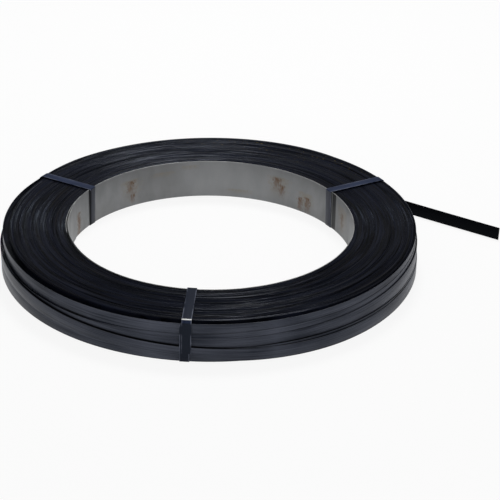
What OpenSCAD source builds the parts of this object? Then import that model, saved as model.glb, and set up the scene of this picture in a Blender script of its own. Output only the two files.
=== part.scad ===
// Coil of black steel strapping wound in lanes on a bare steel core hoop and held by three tie straps.
// Millimetres, +Z up, the bore on the Z axis, the undersides of the ties on z = 0.
// Angles run counterclockwise seen from above, with 0 on +X and the front of the coil at 270.

/* [Strapping] */
// Width of the strap, which is the height of one lane
strap_w = 19; // [12:0.5:32]
// Thickness of the strap
strap_t = 0.5; // [0.4:0.05:1]
// Lanes of strap that lie side by side
lanes = 3; // [3:1:6]
// Gap between two lanes
lane_gap = 0.3; // [0:0.05:1]

/* [Coil] */
// Thickness of the tight winding, from the core hoop to its last tight turn
wound_t = 84.5; // [40:0.5:120]
// Bands of turns that stand a little apart on the two ends
turn_bands = 24; // [8:1:36]
// Greatest step between those bands
band_relief = 0.4; // [0.1:0.05:1]
// How far the last turns of a lane stand out from those above them
lane_step = 1.9; // [1.5:0.1:3]
// How far the top lane's last turns have slipped down
lane_slip = 2.4; // [1:0.1:4]
// How far a strap that crosses between lanes stands off the lane that it lies on
cross_lift = 0.6; // [0.3:0.1:1]
// How far the very last turn stands off the bottom lane
last_lift = 1.6; // [0.5:0.1:3]

/* [Free end] */
// Angle at which the free end leaves the coil
tail_angle = 56.5; // [50:0.5:70]
// Length of the free end, from the coil to its square cut
tail_len = 310; // [100:5:600]

/* [Core hoop] */
// Diameter of the bore
bore_d = 406; // [300:1:508]
// Thickness of the hoop's sheet
hoop_t = 0.8; // [0.5:0.1:1]
// Angle of the hoop's inner end, where its lap starts
lap_from = 165; // [155:1:170]
// Angle of the hoop's outer end, where its lap ends
lap_to = 190; // [180:1:200]
// Angle at which the inner layer is back against the coil
joggle_to = 215; // [205:1:230]

/* [Ties] */
// Width of a tie strap
tie_w = 13; // [9:0.5:19]
// Thickness of a tie strap
tie_t = 0.5; // [0.4:0.05:0.7]
// Inner radius of a tie's bends
tie_bend = 0.4; // [0.2:0.05:0.4]
// Sideways shift between a tie's two lapped ends
tie_skew = 2; // [0:0.5:4]
// Distance of a tie's lapped ends from the bends above and below
tie_end = 4; // [2:0.5:12]
// Angle of the front tie
tie_front_angle = 265.5; // [240:0.5:290]
// Angle of the left tie
tie_left_angle = 150; // [130:0.5:155]
// Angle of the right tie
tie_right_angle = 31.5; // [10:0.5:42]

/* [Clearances] */
// Between a tie and what it holds
tie_gap = 0.3; // [0.25:0.05:0.4]
// Between the core hoop and the innermost turn
hoop_gap = 0.2; // [0.1:0.05:0.3]

/* [Hidden] */
$fn = 180;

// Angle that scatters the heights of the turn bands without a repeat
scatter = 137.5;
// Angle where a full ring's surface starts and ends, away from every piece's edges
seam_angle = 100;
// How deep the first stretch of loose strap is rooted in the winding, and how much deeper each next one
root = 3;
root_step = 0.8;
// How much further in every second stretch lies, where the strap lies tighter
lay_ease = 0.2;
// How far the free end reaches into the coil, how far it lies under the loose turn's face, and its ease at the edges
tail_root = 3;
tail_inset = 0.2;
tail_ease = 0.05;
// Spare angle by which cuts that meet run into each other
cut_overlap = 0.3;
// Flat steps in a tie's bend, and the slit between a tie's lapped ends
bend_steps = 6;
lap_gap = 0.1;

bore_r = bore_d / 2;
coil_r0 = bore_r + hoop_t + hoop_gap;
wound_r = coil_r0 + wound_t;
coil_h = lanes * strap_w + (lanes - 1) * lane_gap;
coil_z0 = tie_t + tie_gap;
coil_z1 = coil_z0 + coil_h;

// Outer radius of a lane: the lower lanes carry more of the last turns and stand out further
function lane_r(lane) = wound_r + (lanes + 1 - lane) * lane_step;
// Radius of the strap's last turn, which lies over the bottom lane
coil_r1 = lane_r(1) + last_lift;
// Top edge of a lane, counted from 1 at the bottom, with fractions for a strap between two lanes
function lane_top(lane) = coil_z0 + strap_w + (lane - 1) * (strap_w + lane_gap);

// The loose outer turns: for each stretch its two angles, the lane at each of them, and its outer radius.
// The last turn comes down from the middle lane at the front left, and the turns under it fan out to the right.
lay = [
    [tail_angle, 200, 1.02, 1.88, coil_r1],
    [199, 291, 1.88, 1.03, coil_r1],
    [289, 405, 1.02, 1.02, coil_r1],
    [284, 345, 1.04, 1.14, lane_r(2) + 2 * cross_lift],
    [343, 510, 1.13, 2.03, lane_r(2) + 2 * cross_lift],
    [225, 272, 1.94, 1.73, lane_r(2) + cross_lift],
    [270, 343, 1.73, 2.18, lane_r(2) + cross_lift],
    [245, 355, 2.04, 2.68, lane_r(3) + cross_lift],
    [353, 525, 2.67, 2.85, lane_r(3) + cross_lift],
];

// Radius where one band of turns ends and the next starts, and how far each band's edge lies back
function band_r(i) = coil_r0 + i * wound_t / turn_bands;
function band_back(i) = band_relief * (0.5 - 0.5 * cos(i * scatter));

// Part of a ring between two angles, from its section in radius and height
module ring_part(from, to) {
    rotate(from)
        rotate_extrude(angle = to - from)
            children();
}

// The wound strap: one turned body, with its bands of turns as rings on both ends and its lanes as steps outside,
// where the last turns of the top lane lie a little lower than the rest
module winding() {
    under = [for (i = [0:turn_bands - 1]) for (k = [0, 1]) [band_r(i + k), coil_z0 + band_back(i)]];
    side = [for (lane = [1:lanes]) for (z = [lane_top(lane) - strap_w, lane_top(lane) - (lane == lanes ? lane_slip : 0)])
        [lane_r(lane), z]];
    ledge = [[wound_r, coil_z1 - lane_slip]];
    over = [for (i = [turn_bands - 1:-1:0]) for (k = [1, 0]) [band_r(i + k), coil_z1 - band_back(i + 5)]];
    rotate(seam_angle)
        rotate_extrude()
            polygon(concat(under, side, ledge, over));
}

// A stretch of loose strap: part of a ring, cut by a slab as wide as the strap that slants from one height to another
module stretch(from, to, top0, top1, r, inner) {
    half = (to - from) / 2;
    slant = atan((top1 - top0) / 2 / sin(half) / r);
    intersection() {
        ring_part(from, to)
            translate([inner, coil_z0 - strap_w])
                square([r - inner, coil_h + 2 * strap_w]);
        rotate(from + half)
            translate([0, 0, (top0 + top1) / 2])
                rotate([slant, 0, 0])
                    translate([-r, -2 * r, -strap_w])
                        cube([3 * r, 4 * r, strap_w]);
    }
}

// The loose outer turns, stretch by stretch
module outer_lay() {
    for (i = [0:len(lay) - 1]) {
        s = lay[i];
        stretch(s[0], s[1], lane_top(s[2]), lane_top(s[3]), s[4] - (i % 2) * lay_ease, wound_r - root - i * root_step);
    }
}

// The free end: straight strap along the tangent, standing on its edge in the bottom lane
module free_end() {
    rotate(tail_angle)
        translate([coil_r1 - tail_inset - strap_t, -tail_len, lane_top(lay[0][2]) - strap_w + tail_ease])
            cube([strap_t, tail_len + tail_root, strap_w - 2 * tail_ease]);
}

module strapping_coil() {
    color([0.10, 0.11, 0.13]) {
        winding();
        outer_lay();
        free_end();
    }
}

// A tall ring section for cutting the hoop, between two radii
module cut_section(r0, r1) {
    translate([r0, coil_z0 - hoop_t])
        square([r1 - r0, coil_h + 2 * hoop_t]);
}

// A tall round bar, set off the axis so that its surface moves out by one sheet over the hoop's joggle
module joggle_bar(r) {
    set_off = hoop_t / sin(joggle_to - lap_to);
    rotate(lap_to + 90)
        translate([set_off, 0, coil_z0 - 2 * hoop_t])
            cylinder(r = r, h = coil_h + 4 * hoop_t);
}

// The hoop: one bent strip, double in its lap, whose inner layer then steps out against the coil
module core_hoop() {
    color([0.52, 0.52, 0.50])
        difference() {
            rotate(seam_angle)
                rotate_extrude()
                    translate([bore_r - hoop_t, coil_z0])
                        square([2 * hoop_t, coil_h]);
            ring_part(joggle_to - cut_overlap, lap_from + 360)
                cut_section(bore_r - 3 * hoop_t, bore_r);
            intersection() {
                ring_part(lap_to - 10 * cut_overlap, joggle_to)
                    cut_section(bore_r - 3 * hoop_t, bore_r + hoop_t);
                joggle_bar(bore_r - hoop_t);
            }
            difference() {
                ring_part(lap_to, joggle_to + 10 * cut_overlap)
                    cut_section(bore_r - hoop_t, bore_r + 3 * hoop_t);
                joggle_bar(bore_r);
            }
        }
}

// Points along one face of a tie: from a start, round corners given as a point and the face's two directions, to an end
function unit(a) = [cos(a), sin(a)];
function bend_centre(c) = c[0] - tie_bend * (unit(c[1]) + unit(c[2])) / (1 + cos(c[2] - c[1]));
function tie_face(start, corners, end, out) = concat(
    [start + out * unit(corners[0][1])],
    [for (c = corners) for (k = [0:bend_steps])
        bend_centre(c) + (tie_bend + out) * unit(c[1] + (c[2] - c[1]) * k / bend_steps)],
    [end + out * unit(corners[len(corners) - 1][2])]);

// A band of tie strap between its face on the coil and its outer face
module tie_band(start, corners, end) {
    outer = tie_face(start, corners, end, tie_t);
    linear_extrude(tie_w, center = true)
        polygon(concat(tie_face(start, corners, end, 0), [for (i = [len(outer) - 1:-1:0]) outer[i]]));
}

// One tie: it goes round the coil's section, leans in over the top lane, and its ends lap on the coil's outer face
module tie(angle) {
    inner = bore_r - tie_gap;
    side = coil_r1 + tie_gap;
    low = coil_z0 - tie_gap;
    high = coil_z1 + tie_gap;
    shoulder = lane_r(lanes) + tie_gap;
    knee = lane_top(lanes - 1);
    lap = tie_t + lap_gap;
    turn = tie_bend + tie_t;
    lean = atan((side - shoulder) / (high - knee));
    middle = (inner + side) / 2;
    under_end = high - turn - tie_end;
    rotate(angle)
        rotate([90, 0, 0]) {
            tie_band([middle, low], [
                [[inner, low], 270, 180],
                [[inner, high], 180, 90],
                [[shoulder + lap, high], 90, lean],
                [[side + lap, knee], lean, 0],
            ], [side + lap, low + turn + tie_end]);
            translate([0, 0, tie_skew])
                tie_band([middle - tie_w, low], [
                    [[side, low], 270, 360],
                    [[side, knee], 360, 360 + lean],
                ], [side - (under_end - knee) * tan(lean), under_end]);
        }
}

module tie_front() {
    color([0.16, 0.17, 0.20])
        tie(tie_front_angle);
}

module tie_left() {
    color([0.16, 0.17, 0.20])
        tie(tie_left_angle);
}

module tie_right() {
    color([0.16, 0.17, 0.20])
        tie(tie_right_angle);
}

strapping_coil();
core_hoop();
tie_front();
tie_left();
tie_right();
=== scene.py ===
# %% [markdown]
# A coil of steel strapping lies flat on a pale floor. Black lacquered strap, 19 mm wide and half a
# millimetre thick, is wound in three lanes on a bare steel core hoop. Three narrow tie straps hold
# the winding, and its free end stands out straight to the right.
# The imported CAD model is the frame: every piece below is drawn in its coordinates, in metres.

# %% Load the frame
import math

import bmesh
import bpy
from mathutils import Matrix, Vector


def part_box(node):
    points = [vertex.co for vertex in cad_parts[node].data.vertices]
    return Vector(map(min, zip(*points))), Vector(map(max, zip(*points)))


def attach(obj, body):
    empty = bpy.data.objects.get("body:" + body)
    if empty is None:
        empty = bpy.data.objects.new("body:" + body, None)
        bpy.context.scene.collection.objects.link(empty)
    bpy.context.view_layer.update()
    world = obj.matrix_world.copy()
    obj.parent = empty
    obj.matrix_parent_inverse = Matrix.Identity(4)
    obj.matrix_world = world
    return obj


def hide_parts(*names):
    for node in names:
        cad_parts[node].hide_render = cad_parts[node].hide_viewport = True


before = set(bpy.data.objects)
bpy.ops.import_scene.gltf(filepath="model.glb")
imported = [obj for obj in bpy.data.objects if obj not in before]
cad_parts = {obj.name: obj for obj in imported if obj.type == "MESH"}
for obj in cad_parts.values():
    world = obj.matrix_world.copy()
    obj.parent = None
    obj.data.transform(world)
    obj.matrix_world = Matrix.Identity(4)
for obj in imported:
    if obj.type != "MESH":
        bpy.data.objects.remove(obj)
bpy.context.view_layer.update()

# %% [markdown]
# The sizes come from the CAD model's own boxes where it has them, so that the dressed coil sits
# exactly where the solids are. The coil lies on its ties, so its underside is just above the floor.
# A place on the coil is an angle, a radius and a height. The angle is 0 at the right, 90 at the back,
# 180 at the left and 270 at the front.

# %% Sizes read from the frame
MM = 0.001
LANES = 3
STRAP_W, STRAP_T = 19 * MM, 0.5 * MM
HOOP_T = 0.8 * MM
CORE_GAP = 0.2 * MM
hoop_low, hoop_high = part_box("core_hoop")
FLOOR_OF_COIL, TOP_OF_COIL = hoop_low.z, hoop_high.z
LANE_PITCH = (TOP_OF_COIL - FLOOR_OF_COIL - STRAP_W) / (LANES - 1)
BORE_R = hoop_high.x - HOOP_T
WOUND_R0 = hoop_high.x + CORE_GAP


def lane_top(lane):
    """Height of a strap's upper edge. Lane 1 is the bottom one, and 1.5 is half way to lane 2."""
    return FLOOR_OF_COIL + STRAP_W + (lane - 1) * LANE_PITCH


def polar(angle, radius, height=0.0):
    """A point on the coil, from its angle in degrees."""
    a = math.radians(angle)
    return Vector((radius * math.cos(a), radius * math.sin(a), height))


print("coil from", round(FLOOR_OF_COIL, 5), "to", round(TOP_OF_COIL, 5), "bore radius", round(BORE_R, 4))

# %% [markdown]
# Node trees get long when every node takes four lines. These helpers keep them readable: put makes a
# node and fills its inputs, feed links a socket or sets a number, and calc is a Math node.

# %% Helpers for node trees
def feed(tree, socket, value):
    """Links a socket's value, or sets a plain one."""
    if isinstance(value, bpy.types.NodeSocket):
        tree.links.new(value, socket)
    else:
        socket.default_value = value


def put(tree, kind, settings=None, inputs=None):
    """A new node with its settings and inputs."""
    made = tree.nodes.new(kind)
    for key, value in (settings or {}).items():
        setattr(made, key, value)
    for key, value in (inputs or {}).items():
        feed(tree, made.inputs[key], value)
    return made


def calc(tree, operation, *values):
    """The result of a Math node on one or two values, or of a chain of such nodes on more."""
    made = put(tree, "ShaderNodeMath", {"operation": operation}, dict(enumerate(values[:2])))
    for value in values[2:]:
        made = put(tree, "ShaderNodeMath", {"operation": operation}, {0: made.outputs[0], 1: value})
    return made.outputs[0]


def sockets(tree, inputs, outputs):
    """Named sockets on a group: (name, type, default) going in and (name, type) going out."""
    for name, kind, *default in inputs:
        made = tree.interface.new_socket(name, in_out="INPUT", socket_type="NodeSocket" + kind)
        if default:
            made.default_value = default[0]
    for name, kind in outputs:
        tree.interface.new_socket(name, in_out="OUTPUT", socket_type="NodeSocket" + kind)


print("helpers ready")

# %% [markdown]
# Most of a finish is masks and noises: where a mark starts and ends, how it fades, how it is broken up.
# Each of these is one or two nodes, so it gets a name of its own.

# %% Helpers for masks and noises
def ramp(tree, value, start, end, low=0.0, high=1.0):
    """A value that goes from low to high while another goes from start to end."""
    made = put(tree, "ShaderNodeMapRange", None, {
        "Value": value, "From Min": start, "From Max": end, "To Min": low, "To Max": high})
    return made.outputs[0]


def within(tree, value, start, end, soft, high=1.0):
    """A mask that is high between start and end. Its edges are soft by as much to either side."""
    rise = ramp(tree, value, start - soft, start + soft)
    return calc(tree, "MULTIPLY", rise, ramp(tree, value, end + soft, end - soft, 0.0, high))


def near(tree, value, middle, far, close, high=1.0):
    """A mask that is high close to a middle value and fades out far from it."""
    off = calc(tree, "ABSOLUTE", calc(tree, "SUBTRACT", value, middle))
    return ramp(tree, off, far, close, 0.0, high)


def vector(tree, x=0.0, y=0.0, z=0.0):
    """A vector from its three parts."""
    return put(tree, "ShaderNodeCombineXYZ", None, {0: x, 1: y, 2: z}).outputs[0]


def parts_of(tree, value):
    """The three parts of a vector."""
    return put(tree, "ShaderNodeSeparateXYZ", None, {0: value}).outputs


def noise(tree, where, scale=1.0, detail=1.0, roughness=0.5):
    """The value of a noise at a place."""
    made = put(tree, "ShaderNodeTexNoise", None, {
        "Vector": where, "Scale": scale, "Detail": detail, "Roughness": roughness})
    return made.outputs[0]


print("masks and noises ready")

# %% [markdown]
# A Geometry Nodes tree is used through a modifier, whose inputs go by their identifiers. The result
# is turned into a plain mesh, because the other tools know meshes and not modifiers.

# %% From a tree to a plain mesh
def shape_by_nodes(name, tree, base, values):
    """The plain mesh that a Geometry Nodes tree makes from a base mesh, which is used up."""
    worker = bpy.data.objects.new(name + "_base", base)
    bpy.context.scene.collection.objects.link(worker)
    modifier = worker.modifiers.new("shape", "NODES")
    modifier.node_group = tree
    for item in tree.interface.items_tree:
        if item.in_out == "INPUT" and item.name in values:
            modifier[item.identifier] = values[item.name]
    bpy.context.view_layer.update()
    ready = worker.evaluated_get(bpy.context.evaluated_depsgraph_get())
    mesh = bpy.data.meshes.new_from_object(ready)
    bpy.data.objects.remove(worker)
    bpy.data.meshes.remove(base)
    mesh.name = name
    return mesh


def show(name, mesh, node, sharp=35):
    """A finished piece: it rides on the one body and stands for its CAD node."""
    mesh.shade_smooth()
    mesh.set_sharp_from_angle(angle=math.radians(sharp))
    piece = bpy.data.objects.new(name, mesh)
    bpy.context.scene.collection.objects.link(piece)
    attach(piece, "root")
    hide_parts(node)
    mesh.calc_loop_triangles()
    print(name, len(mesh.loop_triangles), "triangles")


print("modifier helper ready")

# %% [markdown]
# Some finishes belong to a place on the coil: rust runs down the hoop at a few angles, and the turn
# edges change slowly round the coil. This group gives the place as an angle in degrees, a radius and a
# height in millimetres, and the direction outwards.

# %% Group: place on the coil
def object_place(tree):
    """Object coordinates, which are the frame's own, because every piece sits at the origin."""
    return put(tree, "ShaderNodeTexCoord").outputs["Object"]


def use(tree, group, inputs=None):
    """A shader group placed in a tree, with its own values."""
    return put(tree, "ShaderNodeGroup", {"node_tree": group}, inputs)


place_group = bpy.data.node_groups.new("place_on_coil", "ShaderNodeTree")
sockets(place_group, [], [
    ("Angle", "Float"), ("Radius", "Float"), ("Height", "Float"), ("Outwards", "Vector")])
tree = place_group
x_mm, y_mm, z_mm = (calc(tree, "MULTIPLY", part, 1 / MM) for part in parts_of(tree, object_place(tree)))
angle = calc(tree, "MULTIPLY", calc(tree, "ARCTAN2", y_mm, x_mm), 180 / math.pi)
squares = calc(tree, "ADD", calc(tree, "MULTIPLY", x_mm, x_mm), calc(tree, "MULTIPLY", y_mm, y_mm))
radius = calc(tree, "SQRT", squares)
put(tree, "NodeGroupOutput", None, {
    "Angle": calc(tree, "MODULO", calc(tree, "ADD", angle, 360), 360),
    "Radius": radius,
    "Height": z_mm,
    "Outwards": vector(tree, calc(tree, "DIVIDE", x_mm, radius), calc(tree, "DIVIDE", y_mm, radius))})
print("group", place_group.name)

# %% [markdown]
# A stain on the coil has a middle angle, an upper and a lower height, and a width. It is strongest at
# the top and thins out downwards. One noise breaks up its outline, and a finer one, drawn out upright,
# breaks up its inside.

# %% Group: stain that has run down
STAIN_SCALE, STAIN_WANDER = 260.0, 2.4
STAIN_GRAIN = (620, 620, 130)
stain_group = bpy.data.node_groups.new("stain_run", "ShaderNodeTree")
sockets(stain_group, [
    ("At", "Float", 90.0), ("Half Width", "Float", 1.0), ("Top", "Float", 40.0), ("Bottom", "Float", 10.0),
], [("Mask", "Float")])
tree = stain_group
given = put(tree, "NodeGroupInput").outputs
place = use(tree, place_group).outputs
aside = calc(tree, "ABSOLUTE", calc(tree, "SUBTRACT", place["Angle"], given["At"]))
ragged = noise(tree, object_place(tree), STAIN_SCALE, 3.0, 0.65)
wander = calc(tree, "MULTIPLY", calc(tree, "SUBTRACT", ragged, 0.5), STAIN_WANDER)
spot = ramp(tree, calc(tree, "ADD", calc(tree, "DIVIDE", aside, given["Half Width"]), wander), 1.0, 0.3)
upright = put(tree, "ShaderNodeVectorMath", {"operation": "MULTIPLY"}, {
    0: object_place(tree), 1: STAIN_GRAIN})
grain = ramp(tree, noise(tree, upright.outputs[0], 1.0, 2.0), 0.36, 0.58, 0.35, 1.0)
under_top = ramp(tree, calc(tree, "SUBTRACT", given["Top"], place["Height"]), -1.0, 1.0)
above_bottom = calc(tree, "SUBTRACT", place["Height"], given["Bottom"])
length = calc(tree, "SUBTRACT", given["Top"], given["Bottom"])
fade = ramp(tree, calc(tree, "DIVIDE", above_bottom, length), 0.0, 0.8)
put(tree, "NodeGroupOutput", None, {"Mask": calc(tree, "MULTIPLY", spot, grain, under_top, fade)})
print("group", stain_group.name)

# %% [markdown]
# Rolled strap has fine lines along its length, and its edges are rubbed bare here and there. Each band
# carries two numbers in its mesh: along, in metres, and across, from -1 at one edge to 1 at the other.
# The group turns them into a streak noise, a broader noise and an edge mask.

# %% Group: marks along a band
BROAD_PACE, BROAD_LINES = 1.6, 0.35
RUBBED_SCALE = 55.0
marks_group = bpy.data.node_groups.new("marks_along_band", "ShaderNodeTree")
sockets(marks_group, [
    ("Per Metre", "Float", 8.0), ("Lines", "Float", 12.0), ("Edge From", "Float", 0.9),
], [("Streak", "Float"), ("Broad", "Float"), ("Edge", "Float")])
tree = marks_group
given = put(tree, "NodeGroupInput").outputs
along = put(tree, "ShaderNodeAttribute", {"attribute_name": "along"}).outputs["Fac"]
across = put(tree, "ShaderNodeAttribute", {"attribute_name": "across"}).outputs["Fac"]
pace = calc(tree, "MULTIPLY", along, given["Per Metre"])
lines = calc(tree, "MULTIPLY", across, given["Lines"])
streak = noise(tree, vector(tree, pace, lines), 1.0, 4.0, 0.6)
slow = vector(tree, calc(tree, "MULTIPLY", pace, BROAD_PACE), calc(tree, "MULTIPLY", across, BROAD_LINES))
rubbed_edge_and_highlight = noise(tree, object_place(tree), RUBBED_SCALE, 2.0)
edge = ramp(tree, calc(tree, "ABSOLUTE", across), given["Edge From"], 1.0)
put(tree, "NodeGroupOutput", None, {
    "Streak": streak,
    "Broad": noise(tree, slow),
    "Edge": calc(tree, "MULTIPLY", edge, ramp(tree, rubbed_edge_and_highlight, 0.36, 0.6))})
print("group", marks_group.name)

# %% [markdown]
# Every finish starts from a Principled shader, and its colour is laid on in coats: each coat blends one
# more colour into the tone below it through a mask. A patch is a coat in a box of angle, radius and
# height, for a part's own tone, for painted shade and for painted highlights.

# %% Helpers for finishes
MIX_FIRST, MIX_SECOND, MIX_RESULT = 6, 7, 2
PATCH_EDGE = 0.4


def new_material(name):
    """An empty material with its output and Principled shader."""
    made = bpy.data.materials.new(name)
    made.use_nodes = True
    tree = made.node_tree
    tree.nodes.clear()
    shader = put(tree, "ShaderNodeBsdfPrincipled")
    put(tree, "ShaderNodeOutputMaterial", None, {"Surface": shader.outputs[0]})
    return made, tree, shader.inputs


def coat(tree, mask, tone, colour):
    """A colour over a tone, through a mask. A plain colour is (red, green, blue)."""
    made = put(tree, "ShaderNodeMix", {"data_type": "RGBA"}, {0: mask, MIX_SECOND: (*colour, 1)})
    feed(tree, made.inputs[MIX_FIRST], tone if isinstance(tone, bpy.types.NodeSocket) else (*tone, 1))
    return made.outputs[MIX_RESULT]


def patch_up(tree, place, tone, patches):
    """Coats in boxes of angle, radius and height, each with its colour and strength."""
    for angles, radii, heights, colour, strength in patches:
        mask = calc(tree, "MULTIPLY", strength,
                    within(tree, place["Angle"], *angles, PATCH_EDGE),
                    within(tree, place["Radius"], *radii, PATCH_EDGE),
                    within(tree, place["Height"], *heights, PATCH_EDGE))
        tone = coat(tree, mask, tone, colour)
    return tone


print("helpers for finishes ready")

# %% [markdown]
# Where the light strikes the bend of the strap, a painted sheen lies across it, and under the edges where
# one turn steps over another there is a line of painted shade. Both are painted as coats at their places:
# a sheen by its angle, the shade under a step by the line of its edge from one angle and height to another.

# %% Painted sheens and painted shade under steps
# Colours and limits for the painted sheens and for the painted shade under steps.
PAINTED_SHEEN_GAIN = 1.7
STEP_SHADE = (0.001, 0.001, 0.0012)
SHADE_BELOW, SHADE_ABOVE = (-3.2, -2.4), (0.7, -0.4)
SHADE_TAPER = 4
SHADE_REACH = 0.15
SHADE_STRENGTH = 0.95


def add_painted_sheens(tree, place, tone, light, painted_sheens):
    """Painted sheen: pale bands across the strap, each with its middle angle, half width and strength."""
    pale = [PAINTED_SHEEN_GAIN * v for v in light]
    for angle, half, strength in painted_sheens:
        tone = coat(tree, near(tree, place["Angle"], angle, half, 0.0, strength), tone, pale)
    return tone


def add_painted_step_shade(tree, place, tone, steps):
    """Painted shade under an edge: its two angles, its heights there, and the radius the shade lies within.
    """
    for angles, heights, reach in steps:
        edge = ramp(tree, place["Angle"], *angles, *heights)
        above = calc(tree, "SUBTRACT", place["Height"], edge)
        further_in = ramp(tree, place["Radius"], reach + SHADE_REACH, reach - SHADE_REACH, 0.0, SHADE_STRENGTH)
        painted_shade = calc(tree, "MULTIPLY", ramp(tree, above, *SHADE_BELOW), ramp(tree, above, *SHADE_ABOVE),
                    within(tree, place["Angle"], *angles, SHADE_TAPER), further_in)
        tone = coat(tree, painted_shade, tone, STEP_SHADE)
    return tone


print("sheens and steps ready")

# %% [markdown]
# Black strapping is lacquered: nearly black with a blue cast, and a satin gloss that shows the pale
# floor as dark grey. Colour and roughness change a little along the strap. Tones set by part lie under
# the rubbed edges, which on the ties also carry a painted highlight, and the topmost patches, painted
# shade and a painted highlight, lie over them.

# %% How a lacquered band is dressed
LACQUER_TINT = (0.68, 0.78, 1.0, 1)
STREAK_SHARE, BROAD_SHARE = 0.6, 0.4
BUMP_STRENGTH, BUMP_DEPTH = 0.2, 0.15 * MM


def dress_band(name, dark, light, rubbed_edge_and_highlight, rough, gloss, marks, tones_by_part=(), topmost=(), painted_sheens=(), steps=()):
    """A lacquered band: two tones, a rubbed edge with painted highlight, roughness range, gloss, marks at
    their places.
    """
    made, tree, shader = new_material(name)
    lines = use(tree, marks_group, marks).outputs
    place = use(tree, place_group).outputs
    share = calc(tree, "ADD", calc(tree, "MULTIPLY", lines["Streak"], STREAK_SHARE),
                 calc(tree, "MULTIPLY", lines["Broad"], BROAD_SHARE))
    tone = coat(tree, ramp(tree, share, 0.39, 0.61), dark, light)
    tone = patch_up(tree, place, tone, tones_by_part)
    tone = coat(tree, lines["Edge"], tone, rubbed_edge_and_highlight)
    tone = patch_up(tree, place, tone, topmost)
    tone = add_painted_sheens(tree, place, tone, light, painted_sheens)
    tone = add_painted_step_shade(tree, place, tone, steps)
    bump = put(tree, "ShaderNodeBump", None, {
        "Strength": BUMP_STRENGTH, "Distance": BUMP_DEPTH, "Height": lines["Streak"]})
    feed(tree, shader["Base Color"], tone)
    feed(tree, shader["Roughness"], ramp(tree, lines["Streak"], 0.3, 0.7, *rough))
    feed(tree, shader["Normal"], bump.outputs[0])
    shader["Specular IOR Level"].default_value = gloss
    shader["Specular Tint"].default_value = LACQUER_TINT
    print("finish", name)
    return made


print("bands can be dressed")

# %% [markdown]
# The strap on the coil has painted shade along its foot, three painted sheens, and painted shade
# under four steps that show from the front.
# The face that lay against the coil is dull, without gloss: it shows on the free end, which looks
# jet black.

# %% Finishes: strap and free end
ALL_ROUND = (-1, 361)
# Painted shade along the foot of the strap, just above the floor.
FOOT_SHADE = ((ALL_ROUND, (286, 300), (-2, 1.7), (0.003, 0.003, 0.004), 0.9),)
# Painted sheens across the strap: middle angle, half width and strength.
PAINTED_SHEENS = ((256, 10, 0.3), (288.5, 6, 0.3), (340, 14, 0.25))
# Painted shade under steps: the edge's two angles, its heights there, and the radius the shade lies within.
SHADED_STEPS = (
    ((200, 238), (37.2, 36.6), 292.1),
    ((206, 282), (36.5, 19.4), 294.5),
    ((286, 338), (21.6, 22.3), 294.0),
    ((287, 316), (19.2, 19.2), 296.2),
)
black_strap = dress_band(
    "black_strap", dark=(0.010, 0.012, 0.018), light=(0.074, 0.080, 0.102), rubbed_edge_and_highlight=(0.06, 0.063, 0.07),
    rough=(0.46, 0.28), gloss=0.17, marks={"Per Metre": 7.0, "Lines": 11.0, "Edge From": 0.93},
    topmost=FOOT_SHADE, painted_sheens=PAINTED_SHEENS, steps=SHADED_STEPS)
strap_inside = dress_band(
    "strap_inside", dark=(0.0008, 0.0009, 0.0012), light=(0.002, 0.0022, 0.003),
    rubbed_edge_and_highlight=(0.015, 0.016, 0.018), rough=(0.6, 0.5), gloss=0.05,
    marks={"Per Metre": 7.0, "Lines": 9.0, "Edge From": 0.95})

# %% [markdown]
# The ties are narrower strap with a duller lacquer, and their edges are rubbed and carry a painted
# highlight along their length. The front tie is darker on top and on its outer leg, and its bend over
# the rim carries a painted highlight. The inner legs of the other two are greyer, and the left one has
# painted shade along one edge.

# %% Finish: ties
FRONT, LEFT, RIGHT = (255, 275), (140, 160), (20, 40)
# The left tie's inner leg gets painted shade along this edge.
LEFT_SHADED_EDGE = (151.0, 153)
INNER_LEG, OUTER_LEG, TOP_RUN, BEND = (190, 204), (292, 300), (195, 292), (286.3, 288.6)
ON_LEGS, ON_SHADED_EDGE, ON_TOP, ON_BEND = (-2, 58), (-2, 57), (58.4, 60), (57, 60)
# Tones set by part: darker on the front tie's top run and outer leg, greyer on the other two inner legs.
TIE_TONES_BY_PART = (
    (FRONT, TOP_RUN, ON_TOP, (0.012, 0.015, 0.024), 0.85),
    (FRONT, OUTER_LEG, ON_LEGS, (0.012, 0.014, 0.018), 0.85),
    (LEFT, INNER_LEG, ON_LEGS, (0.06, 0.062, 0.068), 0.7),
    (RIGHT, INNER_LEG, ON_LEGS, (0.085, 0.087, 0.095), 0.7),
)
# A painted highlight on the front tie's bend over the rim, and painted shade along the left tie's inner leg.
PAINTED_HIGHLIGHT_AND_SHADE = (
    (FRONT, BEND, ON_BEND, (0.85, 0.85, 0.84), 1.0),
    (LEFT_SHADED_EDGE, INNER_LEG, ON_SHADED_EDGE, (0.004, 0.004, 0.005), 0.95),
)
# The lighter tie edges are partly rubbed and partly a painted highlight.
tie_black = dress_band(
    "tie_black", dark=(0.016, 0.022, 0.046), light=(0.03, 0.041, 0.08), rubbed_edge_and_highlight=(0.17, 0.185, 0.24),
    rough=(0.4, 0.26), gloss=0.08, marks={"Per Metre": 14.0, "Lines": 8.0, "Edge From": 0.76},
    tones_by_part=TIE_TONES_BY_PART, topmost=PAINTED_HIGHLIGHT_AND_SHADE)

# %% [markdown]
# On the coil's ends we look at the slit edges of the turns. Their tone belongs to the turn: it changes
# from one to the next and only slowly round the coil. The mesh of the ends carries the number of the
# turn, and a noise on that number and on the direction outwards gives just this.

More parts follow.
